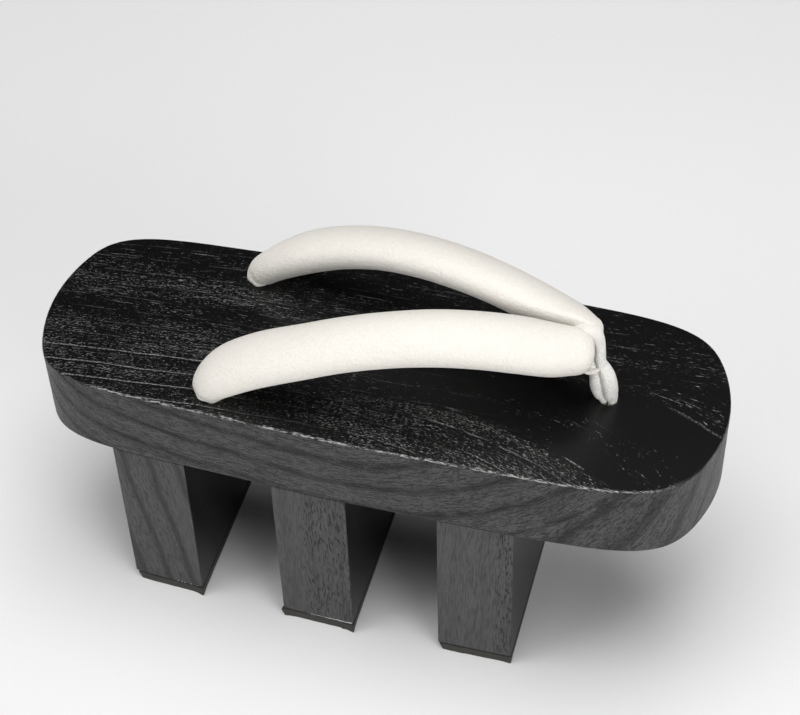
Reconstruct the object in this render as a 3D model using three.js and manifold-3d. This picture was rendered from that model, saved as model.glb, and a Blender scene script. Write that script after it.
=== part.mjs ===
// A geta: a wooden sandal on three straight teeth, with a padded thong.
//
// Millimetres. +X points to the toe, +Z is up, and the sandal is the same on both sides of y = 0.
// The origin is on the ground under the middle of the foot board.
//
// A maker puts it together from a foot board, three glued teeth with rubber pads under them, and a
// thong: two padded straps sewn together at the front, a toe loop that ties them down, and knots
// under the board that hold the ends.

import * as THREE from "three";
import { mergeVertices } from "three/addons/utils/BufferGeometryUtils.js";
import Module from "manifold-3d";

const wasm = await Module();
wasm.setup();

// ---- Driving dimensions ----------------------------------------------------------------------

const STANDING_HEIGHT = 104.2; // ground to the top of the foot board
const GAP = 0.3; // between pieces that are glued, tied or pressed together

const BOARD = { length: 240, width: 84.2, thickness: 30.4, edgeRound: 1.2 };

// The board's outline, seen from above: a squared oval, drawn in as fractions of its radius.
const OUTLINE = {
  squareness: 6.2, // exponent of the squared oval
  fullerToe: 0.049,
  fullerEnds: 0.044,
  fullerQuarters: 0.024,
  trimmedShoulders: 0.006,
  points: 120,
};

const TOOTH = { thickness: 27, pitch: 59, firstX: -74.2, inset: 0.5 };
const TOOTH_NAMES = ["heel", "middle", "toe"];

const PAD = { thickness: 3.4, overhang: 0.1, earLength: 6 };
// How far each hand-cut corner stands out past its tooth. near is the -Y side and far the +Y side.
const PAD_EARS = {
  heel: { nearHeel: 0.2, nearToe: 1.6, farToe: 1.0, farHeel: 0.4 },
  middle: { nearHeel: 1.2, nearToe: 1.6, farToe: 0.6, farHeel: 1.2 },
  toe: { nearHeel: -0.6, nearToe: 0.2, farToe: 0.9, farHeel: 0.2 },
};

// The strap on the +Y side, from its rear hole to the toe. rise is measured from the board's top,
// and lean turns the flat of the strap outwards, in degrees.
const STRAP = [
  { x: -52.0, y: 28.4, rise: -2.0, halfWidth: 6.6, halfThickness: 6.0, lean: 8 },
  { x: -50.4, y: 28.4, rise: 4.0, halfWidth: 8.4, halfThickness: 6.4, lean: 12 },
  { x: -44.0, y: 28.1, rise: 9.6, halfWidth: 9.8, halfThickness: 6.6, lean: 15 },
  { x: -32.6, y: 27.3, rise: 16.4, halfWidth: 10.2, halfThickness: 6.8, lean: 15 },
  { x: -18.9, y: 25.8, rise: 23.0, halfWidth: 10.1, halfThickness: 6.8, lean: 16 },
  { x: -4.4, y: 23.4, rise: 27.8, halfWidth: 9.9, halfThickness: 6.6, lean: 17 },
  { x: 10.1, y: 20.3, rise: 30.5, halfWidth: 9.8, halfThickness: 6.6, lean: 18 },
  { x: 24.3, y: 16.9, rise: 31.4, halfWidth: 9.9, halfThickness: 6.6, lean: 19 },
  { x: 37.8, y: 13.6, rise: 30.6, halfWidth: 9.8, halfThickness: 6.5, lean: 20 },
  { x: 50.1, y: 10.5, rise: 28.7, halfWidth: 9.7, halfThickness: 6.4, lean: 20 },
  { x: 59.9, y: 7.6, rise: 26.7, halfWidth: 9.4, halfThickness: 6.3, lean: 21 },
  { x: 66.3, y: 4.8, rise: 25.6, halfWidth: 8.9, halfThickness: 6.2, lean: 21 },
];
const STRAP_CAP = { length: 7.5, bluntness: 2.4, steps: 6 };
const STRAP_PRESS = { from: 3.0, to: 1.4 }; // the two straps flatten against each other here

// The toe loop, in the plane y = 0: up behind the toe, through the straps, over and down again.
const LOOP_BACK_LEG = [
  { x: 78.1, rise: -30.4, halfThickness: 1.4, halfWidth: 2.3 },
  { x: 78.1, rise: -8.0, halfThickness: 1.4, halfWidth: 2.3 },
  { x: 77.9, rise: 0.5, halfThickness: 1.5, halfWidth: 2.4 },
  { x: 76.5, rise: 2.8, halfThickness: 2.1, halfWidth: 3.4 },
  { x: 75.4, rise: 6.0, halfThickness: 2.4, halfWidth: 3.9 },
  { x: 75.0, rise: 9.5, halfThickness: 2.4, halfWidth: 3.7 },
  { x: 74.3, rise: 13.0, halfThickness: 2.1, halfWidth: 3.2 },
  { x: 72.4, rise: 16.4, halfThickness: 1.9, halfWidth: 3.0 },
  { x: 69.4, rise: 18.8, halfThickness: 1.9, halfWidth: 3.0 },
  { x: 66.8, rise: 21.8, halfThickness: 1.9, halfWidth: 3.0 },
  { x: 66.0, rise: 25.6, halfThickness: 1.9, halfWidth: 3.0 },
  { x: 66.7, rise: 29.4, halfThickness: 2.0, halfWidth: 3.0 },
  { x: 68.8, rise: 31.8, halfThickness: 2.1, halfWidth: 3.1 },
];
const LOOP_FRONT_LEG = [
  { x: 68.8, rise: 31.8, halfThickness: 2.1, halfWidth: 3.1 },
  { x: 71.5, rise: 31.6, halfThickness: 2.2, halfWidth: 3.2 },
  { x: 73.4, rise: 29.2, halfThickness: 2.2, halfWidth: 3.3 },
  { x: 74.3, rise: 26.1, halfThickness: 2.0, halfWidth: 3.2 },
  { x: 75.1, rise: 22.5, halfThickness: 1.9, halfWidth: 3.1 },
  { x: 75.6, rise: 18.8, halfThickness: 1.9, halfWidth: 2.9 },
  { x: 76.3, rise: 15.6, halfThickness: 1.7, halfWidth: 2.7 },
  { x: 77.6, rise: 12.6, halfThickness: 2.1, halfWidth: 3.3 },
  { x: 78.6, rise: 9.6, halfThickness: 2.3, halfWidth: 3.7 },
  { x: 79.4, rise: 6.2, halfThickness: 2.4, halfWidth: 3.9 },
  { x: 80.1, rise: 2.8, halfThickness: 2.2, halfWidth: 3.5 },
  { x: 80.7, rise: 0.5, halfThickness: 1.5, halfWidth: 2.4 },
  { x: 80.9, rise: -8.0, halfThickness: 1.4, halfWidth: 2.3 },
  { x: 80.9, rise: -30.4, halfThickness: 1.4, halfWidth: 2.3 },
];

const TOE_HOLE = { x: 79.5, y: 0, radius: 3.4 };
const REAR_HOLE = { x: -51.6, y: 28.4, radius: 4.4 };
const REAR_TAIL_RADIUS = 3.9; // the strap's own cord, which runs down through the rear hole
const HOLE_SIDES = 24;
const KNOT = { radius: 7.5, height: 9, waist: 6.2 };

const STRAP_STEPS = 40;
const STRAP_SIDES = 20;
const LOOP_STEPS = 26;
const LOOP_SIDES = 12;

const BOARD_TOP = STANDING_HEIGHT;
const BOARD_UNDER = BOARD_TOP - BOARD.thickness;

// ---- Materials -------------------------------------------------------------------------------

const lacquer = new THREE.MeshStandardMaterial({ color: 0x0d0d0e, roughness: 0.38 });
const stainedWood = new THREE.MeshStandardMaterial({ color: 0x2a2a2b, roughness: 0.6 });
const rubber = new THREE.MeshStandardMaterial({ color: 0x24241f, roughness: 0.85 });
const strapLeather = new THREE.MeshStandardMaterial({ color: 0xece7dc, roughness: 0.8 });
const loopSuede = new THREE.MeshStandardMaterial({ color: 0xd9d9d0, roughness: 0.9 });
const cord = new THREE.MeshStandardMaterial({ color: 0xcfc8b8, roughness: 0.9 });

// ---- Solids ----------------------------------------------------------------------------------

// A closed three.js geometry as a solid that can be joined and cut.
function solidOf(geometry) {
  const bare = new THREE.BufferGeometry();
  bare.setAttribute("position", geometry.getAttribute("position"));
  bare.setIndex(geometry.index);
  const merged = mergeVertices(bare, 1e-3);
  return new wasm.Manifold(
    new wasm.Mesh({
      numProp: 3,
      vertProperties: merged.attributes.position.array,
      triVerts: new Uint32Array(merged.index.array),
    }),
  );
}

function geometryOf(solid) {
  const mesh = solid.getMesh();
  const geometry = new THREE.BufferGeometry();
  geometry.setAttribute("position", new THREE.BufferAttribute(mesh.vertProperties, 3));
  geometry.setIndex(new THREE.BufferAttribute(mesh.triVerts, 1));
  geometry.computeVertexNormals();
  return geometry;
}

function uprightCylinder(x, y, radius, bottom, top) {
  const geometry = new THREE.CylinderGeometry(radius, radius, top - bottom, HOLE_SIDES);
  geometry.rotateX(Math.PI / 2);
  geometry.translate(x, y, (top + bottom) / 2);
  return solidOf(geometry);
}

// ---- Foot board ------------------------------------------------------------------------------

// The outline as points round the board, scaled to its length and width and centred.
function outlinePoints(count) {
  const raw = [];
  for (let i = 0; i < count; i++) {
    const t = (2 * Math.PI * i) / count;
    const c = Math.cos(t);
    const s = Math.sin(t);
    const n = OUTLINE.squareness;
    const oval = Math.pow(Math.abs(c) ** n + Math.abs(s) ** n, -1 / n);
    const fullness =
      1 +
      OUTLINE.fullerToe * c +
      OUTLINE.fullerEnds * Math.cos(2 * t) +
      OUTLINE.fullerQuarters * Math.cos(4 * t) -
      OUTLINE.trimmedShoulders * Math.cos(6 * t);
    raw.push(new THREE.Vector2(oval * fullness * c, oval * fullness * s));
  }
  const box = new THREE.Box2().setFromPoints(raw);
  const middle = box.getCenter(new THREE.Vector2());
  const size = box.getSize(new THREE.Vector2());
  return raw.map(
    (p) =>
      new THREE.Vector2(
        ((p.x - middle.x) * BOARD.length) / size.x,
        ((p.y - middle.y) * BOARD.width) / size.y,
      ),
  );
}

const FINE_OUTLINE = outlinePoints(720).filter((p) => p.y >= 0);

// Half the board's width at a place along it. The fine outline runs from the toe to the heel.
function halfWidthAt(x) {
  const after = FINE_OUTLINE.findIndex((p) => p.x <= x);
  const a = FINE_OUTLINE[after - 1];
  const b = FINE_OUTLINE[after];
  return THREE.MathUtils.lerp(a.y, b.y, (a.x - x) / (a.x - b.x));
}

function footBoard() {
  const shape = new THREE.Shape(outlinePoints(OUTLINE.points));
  const slab = new THREE.ExtrudeGeometry(shape, {
    depth: BOARD.thickness - 2 * BOARD.edgeRound,
    steps: 1,
    bevelEnabled: true,
    bevelThickness: BOARD.edgeRound,
    bevelSize: BOARD.edgeRound,
    bevelOffset: -BOARD.edgeRound,
    bevelSegments: 3,
  });
  slab.translate(0, 0, BOARD_UNDER + BOARD.edgeRound);
  let board = solidOf(slab);
  const holes = [
    TOE_HOLE,
    REAR_HOLE,
    { ...REAR_HOLE, y: -REAR_HOLE.y },
  ];
  for (const hole of holes) {
    const drill = uprightCylinder(hole.x, hole.y, hole.radius, BOARD_UNDER - 5, BOARD_TOP + 5);
    board = board.subtract(drill);
  }
  return geometryOf(board);
}

// ---- Teeth and their pads --------------------------------------------------------------------

function toothSpan(index) {
  const middle = TOOTH.firstX + TOOTH.pitch * index;
  return { heelX: middle - TOOTH.thickness / 2, toeX: middle + TOOTH.thickness / 2 };
}

// A tooth's footprint follows the board's side at both ends.
function tooth(index) {
  const { heelX, toeX } = toothSpan(index);
  const slices = 8;
  const near = [];
  const far = [];
  for (let i = 0; i <= slices; i++) {
    const x = THREE.MathUtils.lerp(heelX, toeX, i / slices);
    const half = halfWidthAt(x) - TOOTH.inset;
    near.push(new THREE.Vector2(x, -half));
    far.unshift(new THREE.Vector2(x, half));
  }
  const depth = BOARD_UNDER - GAP - (PAD.thickness + GAP);
  const block = new THREE.ExtrudeGeometry(new THREE.Shape([...near, ...far]), {
    depth,
    bevelEnabled: false,
  });
  block.translate(0, 0, PAD.thickness + GAP);
  return block;
}

// A pad is cut by hand a little over its tooth, with corners that stand out.
function pad(index) {
  const { heelX, toeX } = toothSpan(index);
  const ears = PAD_EARS[TOOTH_NAMES[index]];
  const side = (x) => halfWidthAt(x) - TOOTH.inset + PAD.overhang;
  const low = heelX - PAD.overhang;
  const high = toeX + PAD.overhang;
  const corner = (x, y, ear) => {
    const outX = Math.sign(x - (low + high) / 2);
    const outY = Math.sign(y);
    return [
      new THREE.Vector2(x + outX * ear, y + outY * ear),
      new THREE.Vector2(x, y - outY * PAD.earLength),
      new THREE.Vector2(x - outX * PAD.earLength, outY * side(x - outX * PAD.earLength)),
    ];
  };
  const [nearHeel, nearHeelIn, nearHeelOn] = corner(low, -side(low), ears.nearHeel);
  const [nearToe, nearToeIn, nearToeOn] = corner(high, -side(high), ears.nearToe);
  const [farToe, farToeIn, farToeOn] = corner(high, side(high), ears.farToe);
  const [farHeel, farHeelIn, farHeelOn] = corner(low, side(low), ears.farHeel);
  const outline = [
    nearHeelIn, nearHeel, nearHeelOn,
    nearToeOn, nearToe, nearToeIn,
    farToeIn, farToe, farToeOn,
    farHeelOn, farHeel, farHeelIn,
  ];
  return new THREE.ExtrudeGeometry(new THREE.Shape(outline), {
    depth: PAD.thickness,
    bevelEnabled: false,
  });
}

// ---- Swept pieces ----------------------------------------------------------------------------

// A closed skin over oval sections. Each section has a centre, two directions and two half sizes,
// and the first and last sections close on their own centres.
function skinOver(sections, sides) {
  const positions = [];
  for (const s of sections) {
    for (let j = 0; j < sides; j++) {
      const angle = (2 * Math.PI * j) / sides;
      const point = s.centre
        .clone()
        .addScaledVector(s.across, s.halfWidth * Math.cos(angle))
        .addScaledVector(s.over, s.halfThickness * Math.sin(angle));
      positions.push(point.x, point.y, point.z);
    }
  }
  const first = positions.length / 3;
  positions.push(...sections[0].centre.toArray(), ...sections.at(-1).centre.toArray());
  const faces = [];
  for (let j = 0; j < sides; j++) {
    const k = (j + 1) % sides;
    faces.push(first, k, j);
    for (let i = 0; i + 1 < sections.length; i++) {
      const a = i * sides;
      const b = a + sides;
      faces.push(a + j, a + k, b + k, a + j, b + k, b + j);
    }
    const last = (sections.length - 1) * sides;
    faces.push(first + 1, last + j, last + k);
  }
  const geometry = new THREE.BufferGeometry();
  geometry.setAttribute("position", new THREE.Float32BufferAttribute(positions, 3));
  geometry.setIndex(faces);
  return geometry;
}

// Smooth curves through the rows of a table: one for the places, one for the section sizes.
function curvesThrough(places, sizes) {
  const smooth = (points) => new THREE.CatmullRomCurve3(points, false, "catmullrom", 0.5);
  return { place: smooth(places), size: smooth(sizes) };
}

// ---- Straps ----------------------------------------------------------------------------------

function strapSections(side) {
  const { place, size } = curvesThrough(
    STRAP.map((row) => new THREE.Vector3(row.x, side * row.y, BOARD_TOP + row.rise)),
    STRAP.map((row) => new THREE.Vector3(row.halfWidth, row.halfThickness, row.lean)),
  );
  const sections = [];
  const sectionAt = (u, beyond, shrink) => {
    const tangent = place.getTangent(u);
    const { x: halfWidth, y: halfThickness, z: lean } = size.getPoint(u);
    const leaned = THREE.MathUtils.degToRad(lean);
    const across = new THREE.Vector3(0, -side * Math.cos(leaned), Math.sin(leaned));
    across.addScaledVector(tangent, -across.dot(tangent)).normalize();
    sections.push({
      centre: place.getPoint(u).addScaledVector(tangent, beyond),
      across,
      over: new THREE.Vector3().crossVectors(tangent, across),
      halfWidth: halfWidth * shrink,
      halfThickness: halfThickness * shrink,
    });
  };
  for (let i = 0; i <= STRAP_STEPS; i++) sectionAt(i / STRAP_STEPS, 0, 1);
  for (let i = 1; i <= STRAP_CAP.steps; i++) {
    const along = Math.sin((Math.PI / 2) * (i / (STRAP_CAP.steps + 0.5)));
    const shrink = (1 - along ** STRAP_CAP.bluntness) ** (1 / STRAP_CAP.bluntness);
    sectionAt(1, STRAP_CAP.length * along, shrink);
  }
  return sections;
}

// One padded strap. Where it meets the other one, its inner side is pressed flat.
function paddedStrap(side) {
  const geometry = skinOver(strapSections(side), STRAP_SIDES);
  const position = geometry.getAttribute("position");
  const room = STRAP_PRESS.from + STRAP_PRESS.to;
  for (let i = 0; i < position.count; i++) {
    const inwards = STRAP_PRESS.from - side * position.getY(i);
    if (inwards > 0) {
      const pressed = room * (1 - Math.exp(-inwards / room));
      position.setY(i, side * (STRAP_PRESS.from - pressed));
    }
  }
  return solidOf(geometry);
}

// Both straps as one sewn piece, standing on the board, with their tails through the rear holes
// and a slot at the front where the toe loop runs through.
function thongStraps() {
  const under = new THREE.BoxGeometry(400, 200, 60);
  under.translate(0, 0, BOARD_TOP + GAP - 30);
  let straps = paddedStrap(1).add(paddedStrap(-1)).subtract(solidOf(under));
  for (const side of [1, -1]) {
    const y = side * REAR_HOLE.y;
    const tail = uprightCylinder(REAR_HOLE.x, y, REAR_TAIL_RADIUS, BOARD_UNDER, BOARD_TOP + 5);
    straps = straps.add(tail);
  }
  return geometryOf(straps.subtract(loopSolid(GAP)));
}

// ---- Toe loop --------------------------------------------------------------------------------

function loopLeg(rows, grow) {
  const { place, size } = curvesThrough(
    rows.map((row) => new THREE.Vector3(row.x, 0, BOARD_TOP + row.rise)),
    rows.map((row) => new THREE.Vector3(row.halfWidth, row.halfThickness, 0)),
  );
  const across = new THREE.Vector3(0, 1, 0);
  const sections = [];
  for (let i = 0; i <= LOOP_STEPS; i++) {
    const u = i / LOOP_STEPS;
    const { x: halfWidth, y: halfThickness } = size.getPoint(u);
    sections.push({
      centre: place.getPoint(u),
      across,
      over: new THREE.Vector3().crossVectors(place.getTangent(u), across),
      halfWidth: halfWidth + grow,
      halfThickness: halfThickness + grow,
    });
  }
  return solidOf(skinOver(sections, LOOP_SIDES));
}

// The whole loop, made thicker all round by the given amount.
function loopSolid(grow) {
  return loopLeg(LOOP_BACK_LEG, grow).add(loopLeg(LOOP_FRONT_LEG, grow));
}

// ---- Knots under the board -------------------------------------------------------------------

// A tied cord as a round lump, flat where it bears on the board.
function knot() {
  const { radius, height, waist } = KNOT;
  const profile = new THREE.Path();
  profile.moveTo(0, -height);
  profile.quadraticCurveTo(radius, -height, radius, -height / 2);
  profile.quadraticCurveTo(radius, 0, waist, 0);
  profile.lineTo(0, 0);
  const lump = new THREE.LatheGeometry(profile.getPoints(6), 20);
  lump.rotateX(Math.PI / 2);
  return lump;
}

// ---- The sandal ------------------------------------------------------------------------------

const sandal = new THREE.Group();

function addPiece(name, geometry, material, x = 0, y = 0, z = 0) {
  const mesh = new THREE.Mesh(geometry, material);
  mesh.name = name;
  mesh.position.set(x, y, z);
  sandal.add(mesh);
}

addPiece("foot_board", footBoard(), lacquer);
TOOTH_NAMES.forEach((name, index) => {
  addPiece("tooth_" + name, tooth(index), stainedWood);
  addPiece("pad_" + name, pad(index), rubber);
});
addPiece("thong_straps", thongStraps(), strapLeather);
addPiece("toe_loop", geometryOf(loopSolid(0)), loopSuede);

const knotTop = BOARD_UNDER - GAP;
addPiece("knot_toe", knot(), cord, TOE_HOLE.x, TOE_HOLE.y, knotTop);
addPiece("knot_rear_left", knot(), cord, REAR_HOLE.x, REAR_HOLE.y, knotTop);
addPiece("knot_rear_right", knot(), cord, REAR_HOLE.x, -REAR_HOLE.y, knotTop);

export default sandal;
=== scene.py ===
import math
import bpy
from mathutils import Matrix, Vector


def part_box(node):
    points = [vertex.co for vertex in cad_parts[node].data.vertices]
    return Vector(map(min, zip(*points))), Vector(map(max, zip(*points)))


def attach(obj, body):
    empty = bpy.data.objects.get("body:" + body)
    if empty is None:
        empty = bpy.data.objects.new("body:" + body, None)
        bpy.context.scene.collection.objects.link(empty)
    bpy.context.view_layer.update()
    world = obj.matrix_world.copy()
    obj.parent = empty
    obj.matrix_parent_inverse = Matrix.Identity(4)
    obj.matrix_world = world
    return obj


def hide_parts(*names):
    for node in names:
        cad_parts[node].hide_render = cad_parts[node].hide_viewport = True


bl_info = {
    "name": "Geta sandal",
    "version": (1, 0, 0),
    "blender": (4, 5, 0),
    "location": "3D View > Sidebar > Geta",
    "description": "Builds a black lacquered geta with a padded leather thong round its packed frame",
    "category": "Object",
}

import bmesh
import bpy
from bpy.props import FloatProperty, FloatVectorProperty, PointerProperty
from mathutils import Matrix, Vector, noise

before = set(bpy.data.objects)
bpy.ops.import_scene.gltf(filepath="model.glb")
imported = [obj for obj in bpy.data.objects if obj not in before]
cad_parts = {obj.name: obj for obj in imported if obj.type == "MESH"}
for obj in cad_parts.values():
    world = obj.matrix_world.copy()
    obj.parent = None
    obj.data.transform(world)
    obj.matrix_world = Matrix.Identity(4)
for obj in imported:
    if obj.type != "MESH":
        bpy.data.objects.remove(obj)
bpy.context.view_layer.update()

MM = 0.001  # lengths in the tables below are in millimetres, and Blender works in metres
BOARD_LOW, BOARD_HIGH = (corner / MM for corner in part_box("foot_board"))
BOARD_LENGTH = BOARD_HIGH.x - BOARD_LOW.x
BOARD_WIDTH = BOARD_HIGH.y - BOARD_LOW.y
BOARD_TOP = BOARD_HIGH.z
BOARD_UNDER = BOARD_LOW.z
TEETH = ("heel", "middle", "toe")
NEAR, FAR = -1, 1  # the two sides of the board, as the sign of y

# The board's outline, as a rounded square whose radius swells with the angle from the toe.
SQUARENESS = 6.2
FULLER_TOE = 0.049
FULLER_ENDS = 0.044
FULLER_QUARTERS = 0.024
TRIMMED_SHOULDERS = 0.006
OUTLINE_POINTS = 360

TOE_HOLE = {"x": 79.5, "y": 0.0, "radius": 3.4}
REAR_HOLES = [{"x": -51.6, "y": side * 28.4, "radius": 4.4} for side in (NEAR, FAR)]
HOLE_POINTS = 40
HOLE_EASE = 0.5
EDGE_STEPS = 5

# Each strap's sections from its rear hole to its front end: place, height above the board, half sizes,
# and how far its flat side leans outwards, in degrees. Both straps have the same arch.
ARCH_ROWS = [
    # x, y, rise, half width, half thickness, lean
    (-18.9, 25.8, 23.0, 10.1, 6.8, 16),
    (-4.4, 23.4, 27.8, 9.9, 6.6, 17),
    (10.1, 20.3, 30.5, 9.8, 6.6, 18),
    (24.3, 16.9, 31.4, 9.9, 6.6, 19),
]
NEAR_STRAP_ROWS = [
    (-51.7, 28.4, -3.0, 4.4, 4.3, 4),
    (-51.2, 28.4, -0.4, 5.8, 5.4, 6),
    (-50.9, 28.4, 1.2, 7.2, 6.1, 9),
    (-50.2, 28.3, 4.2, 8.8, 6.5, 12),
    (-44.8, 28.0, 10.0, 10.1, 6.8, 15),
    (-33.4, 27.2, 17.0, 10.4, 6.9, 15),
    *ARCH_ROWS,
    (37.8, 13.6, 30.6, 9.9, 6.5, 20),
    (50.1, 10.5, 28.6, 9.9, 6.5, 20),
    (59.9, 7.7, 26.4, 9.6, 6.4, 21),
    (66.3, 5.0, 25.2, 9.0, 6.2, 21),
]
FAR_STRAP_ROWS = [
    (-51.7, 28.4, -3.0, 4.3, 4.2, 4),
    (-51.7, 28.4, -0.4, 5.3, 4.9, 6),
    (-51.5, 28.3, 1.2, 6.0, 5.3, 9),
    (-49.9, 28.0, 3.6, 6.8, 5.5, 12),
    (-43.4, 27.7, 9.2, 8.6, 6.1, 15),
    (-32.6, 27.2, 16.4, 10.1, 6.8, 15),
    *ARCH_ROWS,
    (37.8, 13.6, 30.6, 9.8, 6.5, 20),
    (50.1, 10.5, 28.7, 9.5, 6.4, 20),
    (59.9, 7.6, 27.2, 8.9, 6.2, 21),
    (66.0, 5.0, 27.0, 7.9, 5.8, 21),
    (70.6, 3.2, 26.4, 6.5, 5.0, 21),
]
# cap and bluntness shape a strap's front end. Its inner side starts to flatten against the other strap
# press_from off the middle, and goes at most press_to past it.
STRAPS = {
    "near": {
        "side": NEAR, "rows": NEAR_STRAP_ROWS, "cap": 8.0, "bluntness": 2.5,
        "press_from": 3.0, "press_to": 1.0, "pleats": 7,
    },
    "far": {
        "side": FAR, "rows": FAR_STRAP_ROWS, "cap": 4.6, "bluntness": 2.0,
        "press_from": 3.6, "press_to": -1.1, "pleats": 6,
    },
}
STRAP_SEGMENTS = 56
STRAP_STEP = 0.7
CAP_STEPS = 12
PLEAT_DEPTH = 0.22
PLEAT_REACH = 4.5
FOLD_DEPTH = 0.55
FOLD_RISE = 0.5
FOLD_WIDTH = 0.8
SEAM_DEPTH = 0.35
SEAM_WIDTH = 0.22
SEAM_TURN = 1.45 * math.pi  # the cover's seam runs along the underside

# The toe loop's strand: up the rear leg, over the top and down the front leg.
LOOP_ROWS = [
    # x, rise, half thickness, half width
    (78.1, -22.0, 1.4, 2.3),
    (78.1, -8.0, 1.4, 2.3),
    (77.8, 0.2, 1.7, 2.6),
    (76.6, 2.4, 2.2, 3.5),
    (75.5, 5.8, 2.5, 4.0),
    (75.0, 9.5, 2.4, 3.8),
    (74.3, 13.0, 2.0, 3.1),
    (72.4, 16.4, 1.8, 2.9),
    (69.4, 18.8, 1.8, 3.0),
    (66.8, 21.8, 1.8, 3.0),
    (66.0, 24.6, 1.8, 3.0),
    (66.9, 27.2, 1.9, 3.0),
    (68.9, 28.8, 2.0, 3.0),
    (71.4, 29.2, 2.1, 3.0),
    (73.5, 27.9, 2.1, 3.0),
    (74.6, 25.2, 1.9, 2.9),
    (75.2, 22.2, 1.8, 2.8),
    (75.6, 18.8, 1.8, 2.9),
    (76.3, 15.6, 1.6, 2.7),
    (77.6, 12.6, 2.1, 3.3),
    (78.7, 9.6, 2.4, 3.8),
    (79.5, 6.2, 2.5, 4.0),
    (80.2, 2.6, 2.3, 3.6),
    (80.8, 0.2, 1.7, 2.6),
    (80.9, -8.0, 1.4, 2.3),
    (80.9, -22.0, 1.4, 2.3),
]
LOOP_SEGMENTS = 28
LOOP_STEP = 0.5
LOOP_DRIFT = 1.3  # how far the top of the loop is pushed to the far side by the near strap's end

# The tongue of the strap's cover that is tucked into the pinch of the toe loop.
TIP_ROWS = [
    # x, y, rise, half width, half thickness
    (70.3, -4.9, 17.4, 0.8, 0.5),
    (71.6, -4.4, 15.8, 1.6, 0.8),
    (73.2, -3.5, 14.9, 1.6, 0.8),
    (74.8, -2.5, 14.7, 1.2, 0.7),
    (76.1, -1.5, 15.1, 0.7, 0.5),
]
TIP_SEGMENTS = 16
TIP_STEP = 0.4

KNOT_RADIUS = 7.3
KNOT_CORD = 2.15
KNOT_STEPS = 120
KNOT_SEGMENTS = 12

TOOTH_CUTS = 12
SHARP_ANGLE = math.radians(50)

# How each pad was trimmed at its corners: how far each stands out from the tooth along x and along y.
PAD_TRIM = {
    "heel": {
        "near_heel": (-1.2, 0.1), "near_toe": (0.3, 1.2), "far_toe": (0.2, 0.7), "far_heel": (0.2, 0.2),
    },
    "middle": {
        "near_heel": (0.9, 0.6), "near_toe": (0.4, 1.2), "far_toe": (0.2, 0.4), "far_heel": (0.2, 0.9),
    },
    "toe": {
        "near_heel": (-0.6, -0.2), "near_toe": (0.1, 0.2), "far_toe": (0.2, 0.7), "far_heel": (0.1, 0.1),
    },
}
PAD_CORNER = 5.0  # how far along the pad a corner's trimming reaches
PAD_UNDERCUT = 1.3  # how far the knife cut slants in under the near corner of a pad's heel side
PAD_PROUD = 0.1  # how far a pad stands out at the heel and toe sides of its tooth
PAD_SET_BACK = 0.4  # how far its ends stand in from the board's side
PAD_RAGGED = 0.25  # how far its cut ends wander
PAD_RAGGED_REACH = 0.8
PAD_UNEVEN = 0.06
PAD_LONG_EDGE = 10.0  # the block's edges that run across the board are longer than this
PAD_CUTS_ALONG = 26
PAD_CUTS_ACROSS = 60

# Dried glue above a pad on its near side: the share of the tooth before it starts, how much fuller it is
# towards the toe, and its number of lumps.
GLUE_BEADS = {
    "heel": {"late": 0.6, "fuller": 0.3, "lumps": 8},
    "middle": {"late": 0.3, "fuller": 1.0, "lumps": 34},
}
GLUE_BEAD = 0.42
GLUE_LUMP = (1.5, 0.45, 0.6)  # a lump's half sizes along x, y and z, in beads
GLUE_PRESSED_IN = 0.55  # how far its middle stands in from the board's side


def length_property(name, description, default):
    return FloatProperty(name=name, description=description, default=default, min=0.0, unit="LENGTH")


def colour_property(name, description, default):
    return FloatVectorProperty(
        name=name, description=description, default=default, min=0.0, max=1.0, subtype="COLOR"
    )


class GetaSizes(bpy.types.PropertyGroup):
    """The sizes that a maker would change"""

    edge_round: length_property("Board edge", "Radius of the board's eased edges", 0.8 * MM)
    tooth_inset: length_property("Tooth inset", "How far a tooth's ends stand in from the board", 0.5 * MM)
    tooth_edge: length_property("Tooth edge", "Width of the worn edges of a tooth", 0.45 * MM)
    pad_edge: length_property("Pad edge", "Width of the soft edge of a rubber pad", 0.25 * MM)
    strap_grain: length_property("Leather grain", "Depth of the leather's pebbled grain", 0.42 * MM)
    suede_nap: length_property("Suede nap", "Depth of the nap on the toe loop", 0.5 * MM)


class GetaColours(bpy.types.PropertyGroup):
    """The colours of the sandal's finishes"""

    lacquer: colour_property("Lacquer", "Black lacquer over the wood", (0.0030, 0.0030, 0.0032))
    # Pale pores and ring lines of the foot bed: partly pale filler, partly painted highlights where the
    # pores' edges catch the light.
    pore_filler_and_glint: colour_property("Open pore", "Pale pores and ring lines in the lacquer", (0.23, 0.23, 0.225))
    # The near edge's pale streaks: wood rubbed through, with a painted highlight along the eased edge.
    rubbed_and_highlit_edge: colour_property("Rubbed edge", "Wood where the edge is rubbed through", (0.30, 0.30, 0.295))
    # The sides and teeth: the dark stain, painted lighter with a painted reflection of the pale floor.
    stain_and_floor_reflection: colour_property("Stained side", "Thin stain over the sides and teeth", (0.066, 0.066, 0.0685))
    leather: colour_property("Leather", "Cream leather of the padded straps", (0.768, 0.741, 0.694))
    suede: colour_property("Suede", "Pale suede of the toe loop", (0.90, 0.885, 0.85))
    rubber: colour_property("Rubber", "Dark rubber of the pads", (0.020, 0.019, 0.016))
    glue: colour_property("Glue", "Dried glue squeezed out above the pads", (0.55, 0.55, 0.53))
    cord: colour_property("Cord", "Hemp cord that ties the thong under the board", (0.42, 0.36, 0.26))
    floor: colour_property("Floor", "Pale studio floor", (0.80, 0.80, 0.80))


def sizes():
    return bpy.context.scene.geta_sizes


def colours():
    return bpy.context.scene.geta_colours


def tint(name, red=1.0, green=1.0, blue=1.0):
    """One of the finishes' colours, with its red, green and blue each multiplied."""
    return tuple(c * k for c, k in zip(getattr(colours(), name), (red, green, blue)))


# ---------------------------------------------------------------- shapes


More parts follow.
